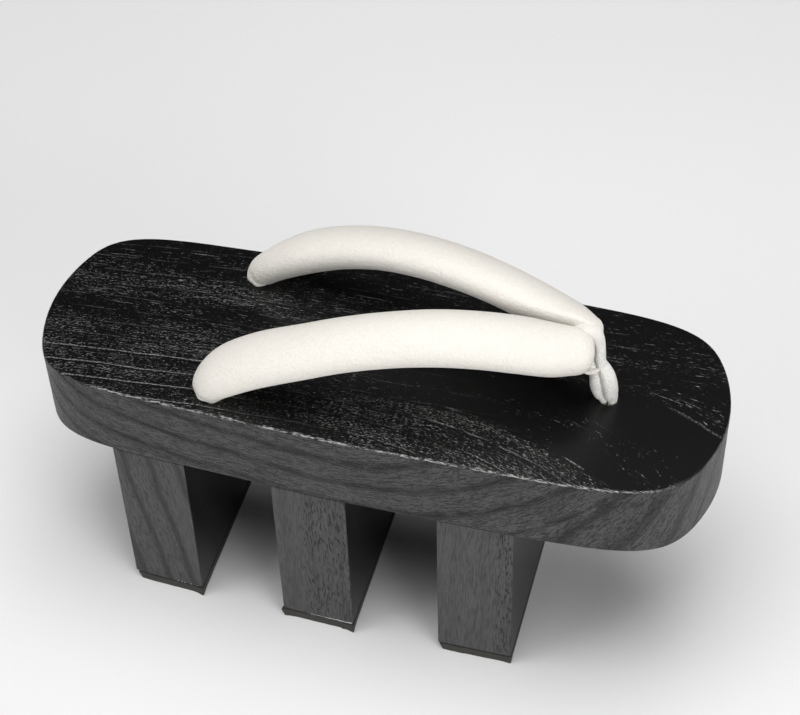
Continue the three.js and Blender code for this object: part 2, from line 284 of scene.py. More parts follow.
def swollen_radius(angle):
    """The outline's radius before it is scaled to the board."""
    powers = (abs(f(angle)) ** SQUARENESS for f in (math.cos, math.sin))
    return sum(powers) ** (-1 / SQUARENESS) * (
        1
        + FULLER_TOE * math.cos(angle)
        + FULLER_ENDS * math.cos(2 * angle)
        + FULLER_QUARTERS * math.cos(4 * angle)
        - TRIMMED_SHOULDERS * math.cos(6 * angle)
    )


def board_outline():
    """The outline's points, evenly spaced along it, in millimetres."""
    fine = 4 * OUTLINE_POINTS
    raw = []
    for step in range(fine):
        angle = math.tau * step / fine
        radius = swollen_radius(angle)
        raw.append(Vector((radius * math.cos(angle), radius * math.sin(angle))))
    low = Vector((min(p.x for p in raw), min(p.y for p in raw)))
    high = Vector((max(p.x for p in raw), max(p.y for p in raw)))
    scale = Vector((BOARD_LENGTH / (high.x - low.x), BOARD_WIDTH / (high.y - low.y)))
    middle = (low + high) / 2
    placed = [Vector(((p.x - middle.x) * scale.x, (p.y - middle.y) * scale.y)) for p in raw]
    return evenly_spaced(placed, OUTLINE_POINTS)


def evenly_spaced(points, count):
    closed = points + points[:1]
    lengths = [0.0]
    for a, b in zip(closed, closed[1:]):
        lengths.append(lengths[-1] + (b - a).length)
    spaced, index = [], 0
    for step in range(count):
        target = lengths[-1] * step / count
        while lengths[index + 1] < target:
            index += 1
        share = (target - lengths[index]) / (lengths[index + 1] - lengths[index])
        spaced.append(closed[index].lerp(closed[index + 1], share))
    return spaced


OUTLINE = board_outline()


def half_width(x):
    """Half the board's width at x, in millimetres."""
    side = sorted((p.x, p.y) for p in OUTLINE if p.y > 0)
    for (x_a, y_a), (x_b, y_b) in zip(side, side[1:]):
        if x_a <= x <= x_b:
            return y_a + (y_b - y_a) * (x - x_a) / max(x_b - x_a, 1e-9)
    raise ValueError(f"x = {x:.1f} mm is off the board")


def interpolated(rows, t):
    """A smooth curve through the rows of a table, at t rows from the first."""
    last = len(rows) - 1
    i = min(int(t), last - 1)
    u = t - i
    before, a, b, after = rows[max(i - 1, 0)], rows[i], rows[i + 1], rows[min(i + 2, last)]
    return tuple(
        0.5 * (
            2 * q
            + (r - p) * u
            + (2 * p - 5 * q + 4 * r - s) * u * u
            + (3 * q - p - 3 * r + s) * u ** 3
        )
        for p, q, r, s in zip(before, a, b, after)
    )


def resampled(rows, step, place):
    """The table's rows interpolated so that neighbouring sections stand about one step apart."""
    sections = []
    for i in range(len(rows) - 1):
        gap = (place(rows[i + 1]) - place(rows[i])).length
        count = max(1, round(gap / step))
        sections += [interpolated(rows, i + k / count) for k in range(count)]
    return sections + [tuple(map(float, rows[-1]))]


def smoothstep(low, high, value):
    share = min(max((value - low) / (high - low), 0.0), 1.0)
    return share * share * (3 - 2 * share)


def finished_piece(name, bm, material, replaces=()):
    """Turns a bmesh in metres into a shown piece that rides on the sandal."""
    mesh = bpy.data.meshes.new(name)
    bm.to_mesh(mesh)
    bm.free()
    for polygon in mesh.polygons:
        polygon.use_smooth = True
    mesh.materials.append(material)
    piece = bpy.data.objects.new(name, mesh)
    bpy.context.scene.collection.objects.link(piece)
    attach(piece, "root")
    if replaces:
        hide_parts(*replaces)
    return piece


def weighted_normals(piece):
    modifier = piece.modifiers.new("even_shading", "WEIGHTED_NORMAL")
    modifier.mode = "FACE_AREA"
    modifier.weight = 100


def ring_edges(verts):
    ring = set(verts)
    return [edge for vert in verts for edge in vert.link_edges if edge.other_vert(vert) in ring]


def add_ring(bm, points):
    """A closed ring of edges through the points, started from a circle."""
    verts = bmesh.ops.create_circle(bm, segments=len(points), radius=1.0)["verts"]
    for vert, point in zip(verts, points):
        vert.co = point
    return verts


def extruded_ring(bm, verts, points):
    """Extrudes a ring of edges once and moves the new ring onto the points."""
    edges = list({edge for edge in ring_edges(verts) if len(edge.link_faces) < 2})
    made = bmesh.ops.extrude_edge_only(bm, edges=edges)["geom"]
    fresh = {v for v in made if isinstance(v, bmesh.types.BMVert)}
    ordered = []
    for vert in verts:
        ordered.append(next(e.other_vert(vert) for e in vert.link_edges if e.other_vert(vert) in fresh))
    for vert, point in zip(ordered, points):
        vert.co = point
    return ordered


def skinned_tube(rings, closed=False):
    """A bmesh tube through rings of points, with its two ends gathered to a point, or joined round."""
    bm = bmesh.new()
    first = add_ring(bm, rings[0])
    verts = first
    for points in rings[1:]:
        verts = extruded_ring(bm, verts, points)
    if closed:
        bmesh.ops.bridge_loops(bm, edges=list(set(ring_edges(first)) | set(ring_edges(verts))))
    else:
        for end in (first, verts):
            centre = sum((v.co for v in end), Vector()) / len(end)
            bmesh.ops.pointmerge(bm, verts=end, merge_co=centre)
    bmesh.ops.recalc_face_normals(bm, faces=bm.faces[:])
    return bm


def quarter_round(radius):
    """(inset, drop) pairs round an eased edge, from the flat face down to the wall."""
    turns = [math.pi / 2 * i / EDGE_STEPS for i in range(EDGE_STEPS + 1)]
    return [(radius * (1 - math.sin(a)), radius * (1 - math.cos(a))) for a in turns]


# ---------------------------------------------------------------- finishes


class Finish:
    """Builds one material's nodes. Its methods return output sockets, which other methods take as inputs."""

    def __init__(self, name):
        self.material = bpy.data.materials.new(name)
        self.material.use_nodes = True
        self.tree = self.material.node_tree
        self.shader = self.tree.nodes["Principled BSDF"]

    def node(self, kind, inputs=(), **settings):
        made = self.tree.nodes.new(kind)
        for key, value in settings.items():
            setattr(made, key, value)
        for key, value in dict(inputs).items():
            self.plug(made.inputs[key], value)
        return made

    def plug(self, socket, value):
        if isinstance(value, bpy.types.NodeSocket):
            self.tree.links.new(value, socket)
        else:
            socket.default_value = value

    def maths(self, operation, *values):
        return self.node("ShaderNodeMath", enumerate(values), operation=operation).outputs[0]

    def sum(self, first, *others):
        for other in others:
            first = self.maths("ADD", first, other)
        return first

    def product(self, first, *others):
        for other in others:
            first = self.maths("MULTIPLY", first, other)
        return first

    def greatest(self, first, *others):
        for other in others:
            first = self.maths("MAXIMUM", first, other)
        return first

    def linear(self, value, factor, offset):
        """factor times the value, plus the offset."""
        return self.maths("MULTIPLY_ADD", value, factor, offset)

    def without(self, value, share=1.0):
        """1 less a share of the value."""
        return self.maths("SUBTRACT", 1.0, self.product(value, share))

    def step(self, value, low, high):
        """0 below low and 1 above high, with a smooth rise between; low may be the larger."""
        made = self.node(
            "ShaderNodeMapRange",
            {"Value": value, "From Min": low, "From Max": high, "To Min": 0.0, "To Max": 1.0},
            interpolation_type="SMOOTHSTEP",
        )
        return made.outputs["Result"]

    def millimetres(self):
        """The piece's coordinates in millimetres, as a vector and as x, y and z, and the way it faces."""
        where = self.node("ShaderNodeTexCoord")
        scaled = self.node(
            "ShaderNodeVectorMath", {0: where.outputs["Object"], "Scale": 1 / MM}, operation="SCALE"
        )
        place = self.node("ShaderNodeSeparateXYZ", {0: scaled.outputs[0]})
        facing = self.node("ShaderNodeSeparateXYZ", {0: where.outputs["Normal"]})
        return scaled.outputs[0], place.outputs, facing.outputs

    def noise(self, vector, scale=1.0, detail=2.0, roughness=0.5):
        made = self.node(
            "ShaderNodeTexNoise",
            {"Vector": vector, "Scale": scale, "Detail": detail, "Roughness": roughness},
            noise_dimensions="3D",
        )
        return made.outputs["Fac"]

    def drawn_noise(self, places, scales, shift=0.0, detail=2.0, roughness=0.5):
        """Noise with its own scale along each of three places. Another shift gives another pattern."""
        joined = self.node("ShaderNodeCombineXYZ", enumerate(places)).outputs[0]
        drawn = self.node(
            "ShaderNodeVectorMath", {0: joined, 1: scales, 2: (0.0, 0.0, shift)}, operation="MULTIPLY_ADD"
        )
        return self.noise(drawn.outputs[0], detail=detail, roughness=roughness)

    def cells(self, vector, scale):
        made = self.node("ShaderNodeTexVoronoi", {"Vector": vector, "Scale": scale}, feature="SMOOTH_F1")
        return made.outputs["Distance"]

    def ramp(self, value, stops, interpolation="EASE"):
        """A curve through (position, grey) stops."""
        made = self.node("ShaderNodeValToRGB", {"Fac": value})
        made.color_ramp.interpolation = interpolation
        elements = made.color_ramp.elements
        while len(elements) > 1:
            elements.remove(elements[-1])
        for index, (position, grey) in enumerate(stops):
            element = elements[0] if index == 0 else elements.new(position)
            element.position = position
            element.color = (grey, grey, grey, 1.0)
        return made.outputs["Color"]

    def blend(self, share, a, b):
        made = self.node("ShaderNodeMix", data_type="RGBA")
        self.plug(made.inputs["Factor"], share)
        self.plug(made.inputs["A"], a if isinstance(a, bpy.types.NodeSocket) else (*a, 1.0))
        self.plug(made.inputs["B"], b if isinstance(b, bpy.types.NodeSocket) else (*b, 1.0))
        return made.outputs["Result"]

    def between(self, share, a, b):
        made = self.node("ShaderNodeMix", data_type="FLOAT")
        for key, value in (("Factor", share), ("A", a), ("B", b)):
            self.plug(made.inputs[key], value)
        return made.outputs["Result"]

    def relief(self, height, depth, strength):
        """Bump from a height of 0 to 1 that stands for a depth in millimetres."""
        made = self.node(
            "ShaderNodeBump", {"Height": height, "Distance": depth * MM, "Strength": strength}
        )
        self.plug(self.shader.inputs["Normal"], made.outputs["Normal"])

    def set(self, **values):
        for key, value in values.items():
            self.plug(self.shader.inputs[key.replace("_", " ")], value)


# The board's growth rings, which reach the foot bed as lines.
RING_SPACING = 6.6
FIRST_RING = -37.0  # where the first ring line lies over the heel, from the centre line
RING_SLOPE = 1.65  # rise over run in a cross-section: the rings lean over towards the near side
RINGS_SPREAD_BEHIND = -55.0
RINGS_SPREAD = 0.085
RING_FALLS = {
    # how the ring lines next to the near edge and the others sweep down to it, as ring_fall takes it
    "near": {"start": -2.3, "later": 1.1, "bend": 0.0045},
    "far": {"start": 5.0, "later": 2.1, "bend": 0.011},
}
FALLS_MEET = (-16.9, -17.5)

# How thickly pores lie from the near edge of the foot bed to its far edge: share of the way, and thickness.
BED_REACH = 42.0
PORES_AT_HEEL = [
    (0.00, 0.62), (0.09, 0.52), (0.20, 0.62), (0.29, 0.72), (0.42, 0.70),
    (0.50, 0.48), (0.58, 0.46), (0.66, 0.70), (0.74, 0.64), (0.84, 0.42), (1.00, 0.34),
]
PORES_AT_TOE = [
    (0.00, 0.72), (0.26, 0.78), (0.31, 0.34), (0.38, 0.36), (0.42, 0.05),
    (0.51, 0.05), (0.56, 0.56), (0.62, 0.30), (0.74, 0.58), (0.84, 0.40), (1.00, 0.30),
]
HEEL_TO_TOE = (-30.0, 12.0)  # where the first chart gives way to the second

# Three sizes of pore: cycles a millimetre along, across and down the grain, and the height of the noise
# that opens a pore where they are sparse and where they are dense.
PORES = {
    "dots": {"scales": (0.75, 2.7, 1.2), "shift": 3.0, "sparse": 0.74, "dense": 0.51, "softness": 0.09},
    "dashes": {"scales": (0.22, 2.2, 1.1), "shift": 9.0, "sparse": 0.72, "dense": 0.55, "softness": 0.08},
    "streaks": {"scales": (0.045, 1.8, 1.0), "shift": 15.0, "sparse": 0.74, "dense": 0.59, "softness": 0.08},
}


def ring_fall(wood, leaning, x, start, later, bend):
    """How far a ring has fallen towards the near edge by x. The first ring starts to fall at start, and the
    others `later` millimetres on for each millimetre further from the near edge. Each then falls as bend
    times the square of the way along it. The way solves: later * bend * way^2 + way = ahead."""
    late = wood.product(wood.sum(leaning, -FIRST_RING), later)
    ahead = wood.maths("MAXIMUM", wood.maths("SUBTRACT", wood.sum(x, -start), late), 0.0)
    root = wood.maths("SQRT", wood.linear(ahead, 4 * later * bend, 1.0))
    way = wood.product(wood.sum(root, -1.0), 1 / (2 * later * bend))
    return wood.product(way, way, bend)


def ring_position(wood, x, y, z):
    """Where the ring through a point lies over the heel, from the centre line, with how deep the point is
    and whether its ring is one of those next to the near edge. Rings dip to the near edge over the heel,
    and sweep down to it in long arcs before the toe."""
    depth = wood.maths("SUBTRACT", BOARD_TOP, z)
    behind = wood.maths("MAXIMUM", wood.maths("SUBTRACT", RINGS_SPREAD_BEHIND, x), 0.0)
    leaning = wood.sum(y, wood.product(depth, 1 / RING_SLOPE), wood.product(behind, RINGS_SPREAD))
    near_fall, far_fall = (ring_fall(wood, leaning, x, **fall) for fall in RING_FALLS.values())
    nearer = wood.step(wood.sum(leaning, near_fall), *FALLS_MEET)
    slow = wood.drawn_noise((x, leaning, 0.0), (0.014, 0.04, 0.0), detail=1.0)
    quick = wood.drawn_noise((x, leaning, 0.0), (0.06, 0.16, 0.0), shift=4.0)
    drift = wood.sum(wood.linear(slow, 3.2, -1.6), wood.linear(quick, 1.3, -0.65))
    return wood.sum(leaning, wood.between(nearer, far_fall, near_fall), drift), depth, nearer


def ring_distance(wood, position, spacing, first):
    """How far the nearest ring line is, in millimetres."""
    share = wood.maths("FRACT", wood.product(wood.sum(position, -first), 1 / spacing))
    return wood.product(wood.maths("MINIMUM", share, wood.without(share)), spacing)


def pore_thickness(wood, x, across, nearer):
    """How thickly the pores lie at a point of the foot bed."""
    place = wood.product(wood.sum(across, BED_REACH), 1 / (2 * BED_REACH))
    charts = (wood.ramp(place, chart) for chart in (PORES_AT_HEEL, PORES_AT_TOE))
    charted = wood.between(wood.step(x, *HEEL_TO_TOE), *charts)
    patches = wood.drawn_noise((x, across, 0.0), (0.028, 0.13, 0.0), shift=2.0)
    smooth_toe = wood.product(wood.without(nearer), wood.step(x, 10.0, 40.0), wood.step(across, -13.0, -17.0))
    # Each ring is smoother next to its line.
    turn = wood.maths("FRACT", wood.product(wood.sum(across, -FIRST_RING), 1 / RING_SPACING))
    open_part = wood.step(wood.maths("ABSOLUTE", wood.sum(turn, -0.45)), 0.55, 0.28)
    return wood.product(
        charted, wood.without(smooth_toe, 0.6),
        wood.linear(patches, 1.5, 0.25), wood.linear(open_part, 0.5, 0.6),
    )


def pores(wood, place, thickness, scales, shift, sparse, dense, softness):
    """One size of pore: 1 in a pore and 0 between them."""
    grain = wood.drawn_noise(place, scales, shift, detail=1.5, roughness=0.6)
    return wood.step(wood.maths("SUBTRACT", grain, wood.between(thickness, sparse, dense)), 0.0, softness)


def pale_ring_lines(wood, x, across, thickness, nearer, rings, broken):
    """The pale ring lines, partly pale filler and partly painted highlight: whole near the heel's edge, and
    broken elsewhere.
    """
    heel = wood.product(wood.step(x, -20.0, -70.0), wood.step(across, -8.0, -17.0), 0.8)
    far = wood.product(broken, wood.step(x, 60.0, 20.0), wood.linear(thickness, 0.8, 0.1), 0.6)
    toe = wood.product(wood.step(x, 8.0, 36.0), nearer, broken, 0.6)
    from_check = wood.maths("ABSOLUTE", wood.sum(across, -2.6))
    check = wood.product(wood.step(x, 98.0, 104.0), wood.step(from_check, 3.0, 2.0), 0.3)
    return wood.product(wood.step(rings, 0.36, 0.10), wood.sum(heel, far, toe, check))


def pale_bed_grain(wood, x, across, depth, nearer, rings, broken):
    """Where the foot bed is painted pale, from 0 to 1: partly pale filler in the grain, partly painted
    highlights on the pores' edges.
    """
    thickness = pore_thickness(wood, x, across, nearer)
    dots, dashes, streaks = (pores(wood, (x, across, depth), thickness, **size) for size in PORES.values())
    far_half = wood.step(across, -8.0, 4.0)
    toe_half = wood.step(x, -10.0, 30.0)
    pale = wood.greatest(
        wood.product(dots, wood.between(far_half, 0.85, wood.between(toe_half, 0.6, 0.3))),
        wood.product(dashes, wood.between(far_half, 0.55, 0.9)),
        wood.product(streaks, wood.between(far_half, 0.25, 0.7)),
        pale_ring_lines(wood, x, across, thickness, nearer, rings, broken),
    )
    speckle = wood.drawn_noise((x, across, depth), (1.1, 2.6, 1.0), detail=1.0)
    return wood.product(pale, wood.linear(wood.step(speckle, 0.36, 0.70), 1.2, 0.10))


def rubbed_and_highlit_edge(wood, x, y, z, facing_up):
    """Where the near edge is rubbed through and carries a painted highlight, in broken streaks that reach a
    little way over the foot bed.
    """
    stations = [min(max(i / 30, 0.003), 0.997) for i in range(31)]  # the very ends have no width
    edge = wood.ramp(
        wood.product(wood.sum(x, -BOARD_LOW.x), 1 / BOARD_LENGTH),
        [(share, half_width(BOARD_LOW.x + BOARD_LENGTH * share) / BOARD_WIDTH) for share in stations],
        "LINEAR",
    )
    inwards = wood.linear(edge, BOARD_WIDTH, y)
    skewed = wood.linear(y, 1.4, x)
    streaky = wood.drawn_noise((skewed, y, z), (0.45, 2.6, 1.0), detail=3.0, roughness=0.65)
    reach = wood.drawn_noise((x, 3.0, 0.0), (0.07, 1.0, 0.0), shift=8.0)
    close = wood.product(wood.step(inwards, 1.9, 0.1), wood.step(reach, 0.22, 0.54))
    along = wood.product(wood.step(x, -106.0, -84.0), wood.step(x, 116.0, 84.0))
    return wood.product(
        wood.step(wood.linear(close, 0.22, streaky), 0.65, 0.77), along, wood.step(facing_up, 0.35, 0.75),
        wood.step(close, 0.0, 0.25),
    )


def side_grain(wood, x, across, z, rings, broken):
    """The tone of the board's sides, darker at every ring and with painted shade in its short pores, and
    those pores.
    """
    dashes = wood.drawn_noise((x, across, z), (0.24, 2.6, 0.24), detail=2.5, roughness=0.7)
    fine = wood.drawn_noise((x, across, z), (0.8, 3.2, 0.8), detail=1.5, roughness=0.6)
    pits = wood.greatest(wood.step(dashes, 0.46, 0.58), wood.product(wood.step(fine, 0.50, 0.60), 0.85))
    dark_rings = wood.product(wood.step(rings, 1.7, 0.1), wood.linear(broken, 0.4, 0.6))
    cloud = wood.drawn_noise((x, across, 0.0), (0.05, 0.2, 0.0), shift=7.0)
    tone = wood.product(wood.without(pits, 0.8), wood.without(dark_rings, 0.9), wood.linear(cloud, 1.5, 0.4))
    return tone, pits


def board_wood():
    """Black lacquer over open grain: pores painted pale on the foot bed, partly as pale filler and partly as
    painted highlights, and the sides painted charcoal with a painted reflection of the floor and painted
    shade in their pores.
    """
    wood = Finish("lacquered_board")
    _, (x, y, z), (_, _, facing_up) = wood.millimetres()
    across, depth, nearer = ring_position(wood, x, y, z)
    rings = ring_distance(wood, across, RING_SPACING, FIRST_RING)
    broken = wood.step(wood.drawn_noise((x, across, 0.0), (0.12, 0.5, 0.0), shift=21.0), 0.40, 0.58)
    pale = pale_bed_grain(wood, x, across, depth, nearer, rings, broken)
    tone, pits = side_grain(wood, x, across, z, rings, broken)
    # Painted light by facing: the same pores are painted pale on the foot bed, partly as painted highlights,
    # and dark on the sides as painted shade, and the sides carry a painted reflection of the floor.
    on_top = wood.step(facing_up, 0.55, 0.85)
    side = wood.blend(tone, tint("lacquer"), tint("stain_and_floor_reflection"))
    bed = wood.blend(pale, tint("lacquer"), tint("pore_filler_and_glint"))
    colour = wood.blend(on_top, side, bed)
    # The near edge: rubbed wear with a painted highlight on it.
    colour = wood.blend(rubbed_and_highlit_edge(wood, x, y, z, facing_up), colour, tint("rubbed_and_highlit_edge"))
    gloss = wood.linear(pale, 0.25, wood.between(on_top, 0.42, 0.30))
    hollow = wood.greatest(wood.product(pale, on_top), wood.product(pits, wood.without(on_top)))
    wood.set(Base_Color=colour, Roughness=gloss, Specular_IOR_Level=0.28)
    wood.relief(wood.without(hollow), 0.14, 0.8)
    return wood.material


TOOTH_GRAIN = {
    "heel": {
        "lean": 0.16, "pitted": 0.7, "pits_at": -76.0, "pits_reach": 9.0, "ringed": 0.65, "ring_offset": -0.5,
    },
    "middle": {
        "lean": 0.02, "pitted": 1.0, "pits_at": -9.5, "pits_reach": 8.5, "ringed": 0.2, "ring_offset": 3.0,
    },
    "toe": {
        "lean": -0.03, "pitted": 1.0, "pits_at": 54.5, "pits_reach": 2.5, "ringed": 0.12, "ring_offset": 5.0,
    },
}
TOOTH_RING_SPACING = 8.5
TOOTH_MID_HEIGHT = 37.0


def tooth_wood(name, centre, lean, pitted, pits_at, pits_reach, ringed, ring_offset):
    """Stained wood with its grain upright, painted lighter with a painted reflection of the floor, and with
    painted shade on the faces towards the heel and toe. lean is how far the grain drifts towards the heel for
    each millimetre up, pitted and ringed how strong its dark pores and rings are, and most pores lie within
    pits_reach of pits_at."""
    wood = Finish(name)
    _, (x, y, z), (facing_along, _, _) = wood.millimetres()
    upright = wood.linear(wood.sum(z, -TOOTH_MID_HEIGHT), lean, wood.sum(x, -centre))
    warp = wood.drawn_noise((upright, y, z), (0.06, 0.05, 0.03))
    upright = wood.sum(upright, wood.linear(warp, 5.0, -2.5))
    fibre = wood.drawn_noise((upright, y, z), (2.6, 2.6, 0.16), detail=3.0, roughness=0.65)
    pore = wood.drawn_noise((upright, y, z), (2.0, 1.8, 0.3), shift=8.0, detail=1.5)
    zone = wood.step(wood.maths("ABSOLUTE", wood.sum(x, -pits_at)), pits_reach + 2.5, pits_reach - 1.5)
    pits = wood.product(wood.step(pore, 0.53, 0.61), wood.linear(zone, 0.8, 0.2), pitted)
    across_rings = wood.linear(upright, 0.82, wood.product(y, 0.35))
    rings = ring_distance(wood, across_rings, TOOTH_RING_SPACING, ring_offset)
    tone = wood.product(
        wood.without(pits, 0.9), wood.without(wood.step(rings, 1.8, 0.2), ringed),
        wood.linear(wood.step(fibre, 0.34, 0.62), 0.65, 0.42),
    )
    # The stain, painted lighter with a painted reflection of the floor, darker in its pores and rings.
    side = wood.blend(tone, tint("lacquer"), tint("stain_and_floor_reflection"))
    # Painted shade: faces that look towards the heel or the toe are painted nearly the black of the lacquer.
    painted_shade_faces = wood.step(wood.maths("ABSOLUTE", facing_along), 0.5, 0.9)
    wood.set(
        Base_Color=wood.blend(painted_shade_faces, side, wood.blend(0.85, side, tint("lacquer"))),
        Roughness=wood.linear(fibre, 0.16, 0.36), Specular_IOR_Level=0.30,
    )
    wood.relief(wood.maths("SUBTRACT", wood.product(fibre, 0.5), pits), 0.08, 0.6)
    return wood.material


def strap_leather():
    """Cream glove leather with a fine pebbled grain."""
    leather = Finish("strap_leather")
    place, _, _ = leather.millimetres()
    pebbles = leather.cells(place, scale=1.15)
    creases = leather.noise(place, scale=1.3, detail=3.0, roughness=0.65)
    broad = leather.noise(place, scale=0.05)
    tone = leather.linear(leather.step(creases, 0.66, 0.34), 0.65, leather.product(broad, 0.35))
    leather.set(
        Base_Color=leather.blend(tone, tint("leather"), tint("leather", 0.93, 0.92, 0.90)),
        Roughness=leather.linear(creases, 0.14, 0.46),
        Specular_IOR_Level=0.32, Sheen_Weight=0.10, Sheen_Roughness=0.5,
    )
    grain = leather.linear(pebbles, 0.5, leather.product(creases, 0.8))
    leather.relief(grain, sizes().strap_grain / MM, 0.8)
    return leather.material


def loop_suede():
    """Pale suede with a short uneven nap, creamier where it comes out from under the strap."""
    suede = Finish("loop_suede")
    place, (_, _, height), _ = suede.millimetres()
    nap = suede.noise(place, scale=1.3, detail=4.0, roughness=0.7)
    clumps = suede.noise(place, scale=0.45)
    tone = suede.step(suede.linear(nap, 0.75, suede.product(clumps, 0.25)), 0.36, 0.62)
    creamy = suede.step(height, BOARD_TOP + 24.0, BOARD_TOP + 28.0)
    nappy = suede.blend(tone, tint("suede", 0.78, 0.785, 0.76), tint("suede"))
    suede.set(
        Base_Color=suede.blend(creamy, nappy, tint("leather")), Roughness=0.92,
        Specular_IOR_Level=0.15, Sheen_Weight=0.35, Sheen_Roughness=0.6,
    )
    suede.relief(nap, sizes().suede_nap / MM, 0.9)
    return suede.material


def pad_rubber():
    """Dull dark rubber with knife marks along its cut edges."""
    rubber = Finish("pad_rubber")
    place, (x, y, z), _ = rubber.millimetres()
    mottle = rubber.noise(place, scale=0.35, detail=3.0)
    cuts = rubber.drawn_noise((x, y, z), (0.5, 0.5, 3.2), detail=3.0, roughness=0.65)
    worn = rubber.product(mottle, cuts, 2.0)
    rubber.set(
        Base_Color=rubber.blend(worn, tint("rubber"), tint("rubber", 1.9, 1.9, 1.9)),
        Roughness=rubber.linear(cuts, 0.2, 0.62),
    )
    rubber.relief(cuts, 0.12, 0.6)
    return rubber.material


def dried_glue():
    """White glue, greyer in patches."""
    glue = Finish("dried_glue")
    place, _, _ = glue.millimetres()
    mottle = glue.noise(place, scale=1.2, detail=3.0)
    glue.set(Base_Color=glue.blend(mottle, tint("glue", 0.55, 0.55, 0.55), tint("glue")), Roughness=0.5)
    glue.relief(mottle, 0.1, 0.5)
    return glue.material


def knot_cord():
    """Twisted hemp cord, with painted shade in the grooves between its strands."""
    cord = Finish("knot_cord")
    _, place, _ = cord.millimetres()
    strands = cord.drawn_noise(tuple(place), (1.1, 1.1, 2.4), detail=3.0, roughness=0.65)
    raised_strands = cord.step(strands, 0.35, 0.65)
    # Painted shade: the grooves between the strands take the darker tint.
    cord.set(Base_Color=cord.blend(raised_strands, tint("cord", 0.55, 0.55, 0.55), tint("cord")), Roughness=0.85)
    cord.relief(strands, 0.3, 0.8)
    return cord.material


def studio_floor():
    """Pale and almost even."""
    floor = Finish("studio_floor")
    place, _, _ = floor.millimetres()
    mottle = floor.noise(place, scale=0.004, detail=1.0)
    floor.set(
        Base_Color=floor.blend(mottle, tint("floor", 0.99, 0.99, 0.99), tint("floor")),
        Roughness=0.6, Specular_IOR_Level=0.2,
    )
    return floor.material


# ---------------------------------------------------------------- pieces


def outward_normals(points):
    normals = []
    for i, point in enumerate(points):
        along = points[(i + 1) % len(points)] - points[i - 1]
        normals.append(Vector((along.y, -along.x)).normalized())
    return normals


def ring_at(points, normals, outset, height):
    """A ring of points in metres, moved outwards along their normals, at a height."""
    return [Vector((*(point + normal * outset), height)) * MM for point, normal in zip(points, normals)]


def wall_profile(ease):
    """An edge from the top face round to the underside, as (outset, height)."""
    rounds = quarter_round(ease)
    top = [(-inset, BOARD_TOP - drop) for inset, drop in rounds]
    return top + [(-inset, BOARD_UNDER + drop) for inset, drop in reversed(rounds)]


def build_board():
    walls = [(OUTLINE, outward_normals(OUTLINE), wall_profile(sizes().edge_round / MM))]
    for hole in [TOE_HOLE, *REAR_HOLES]:
        centre = Vector((hole["x"], hole["y"]))
        turns = [-math.tau * i / HOLE_POINTS for i in range(HOLE_POINTS)]
        inward = [Vector((math.cos(a), math.sin(a))) for a in turns]
        rim = [centre + n * hole["radius"] for n in inward]
        walls.append((rim, [-n for n in inward], wall_profile(HOLE_EASE)))
    bm = bmesh.new()
    rings = [add_ring(bm, ring_at(points, normals, *profile[0])) for points, normals, profile in walls]
    bmesh.ops.triangle_fill(bm, use_beauty=True, use_dissolve=False, edges=bm.edges[:])
    under_edges = set()
    for ring, (points, normals, profile) in zip(rings, walls):
        for outset, height in profile[1:]:
            ring = extruded_ring(bm, ring, ring_at(points, normals, outset, height))
        under_edges.update(ring_edges(ring))
    bmesh.ops.triangle_fill(bm, use_beauty=True, use_dissolve=False, edges=list(under_edges))
    bmesh.ops.recalc_face_normals(bm, faces=bm.faces[:])
    weighted_normals(finished_piece("board", bm, board_wood(), ["foot_board"]))


def block_between(low, high, cuts):
    """A bmesh block in millimetres between two corners, with cuts across its length in x."""
    bm = bmesh.new()
    bmesh.ops.create_cube(bm, size=1.0)
    centre, size = (low + high) / 2, high - low
    for vert in bm.verts:
        vert.co = Vector(centre[i] + vert.co[i] * size[i] for i in range(3))
    lengthwise = [e for e in bm.edges if abs(e.verts[0].co.x - e.verts[1].co.x) > size.x / 2]
    bmesh.ops.subdivide_edges(bm, edges=lengthwise, cuts=cuts, use_grid_fill=True)
    return bm


def bevelled(bm, offset, segments):
    """Bevels a block's sharp edges and turns its faces outwards."""
    sharp = [e for e in bm.edges if len(e.link_faces) == 2 and e.calc_face_angle() > SHARP_ANGLE]
    bmesh.ops.bevel(
        bm, geom=sharp, offset=offset, segments=segments, affect="EDGES", profile=0.5, material=-1
    )
    bmesh.ops.recalc_face_normals(bm, faces=bm.faces[:])


def build_teeth():
    inset = sizes().tooth_inset / MM
    for name in TEETH:
        low, high = (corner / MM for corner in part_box(f"tooth_{name}"))
        bm = block_between(low, high, TOOTH_CUTS)
        for vert in bm.verts:
            vert.co.y = math.copysign(1, vert.co.y) * (half_width(vert.co.x) - inset)
            vert.co *= MM
        bevelled(bm, sizes().tooth_edge, segments=3)
        material = tooth_wood(f"stained_tooth_{name}", (low.x + high.x) / 2, **TOOTH_GRAIN[name])
        weighted_normals(
            finished_piece(f"tooth_{name}_block", bm, material, [f"tooth_{name}"])
        )


def trimmed(trim, low, high, place):
    """Where a point of a pad's outline goes once its corners are trimmed."""
    toe_side = place.x > (low.x + high.x) / 2
    end, outwards = (high.x, 1) if toe_side else (low.x, -1)
    out_x, out_y = trim[("near" if place.y < 0 else "far") + ("_toe" if toe_side else "_heel")]
    from_side = half_width(min(max(place.x, low.x), high.x)) - abs(place.y)
    reach_x = max(0.0, 1 - abs(place.x - end) / PAD_CORNER)
    reach_y = max(0.0, 1 - from_side / PAD_CORNER)
    shift = Vector((outwards * out_x, math.copysign(1, place.y) * out_y, 0))
    return place + shift * (reach_x * reach_y) ** 1.5


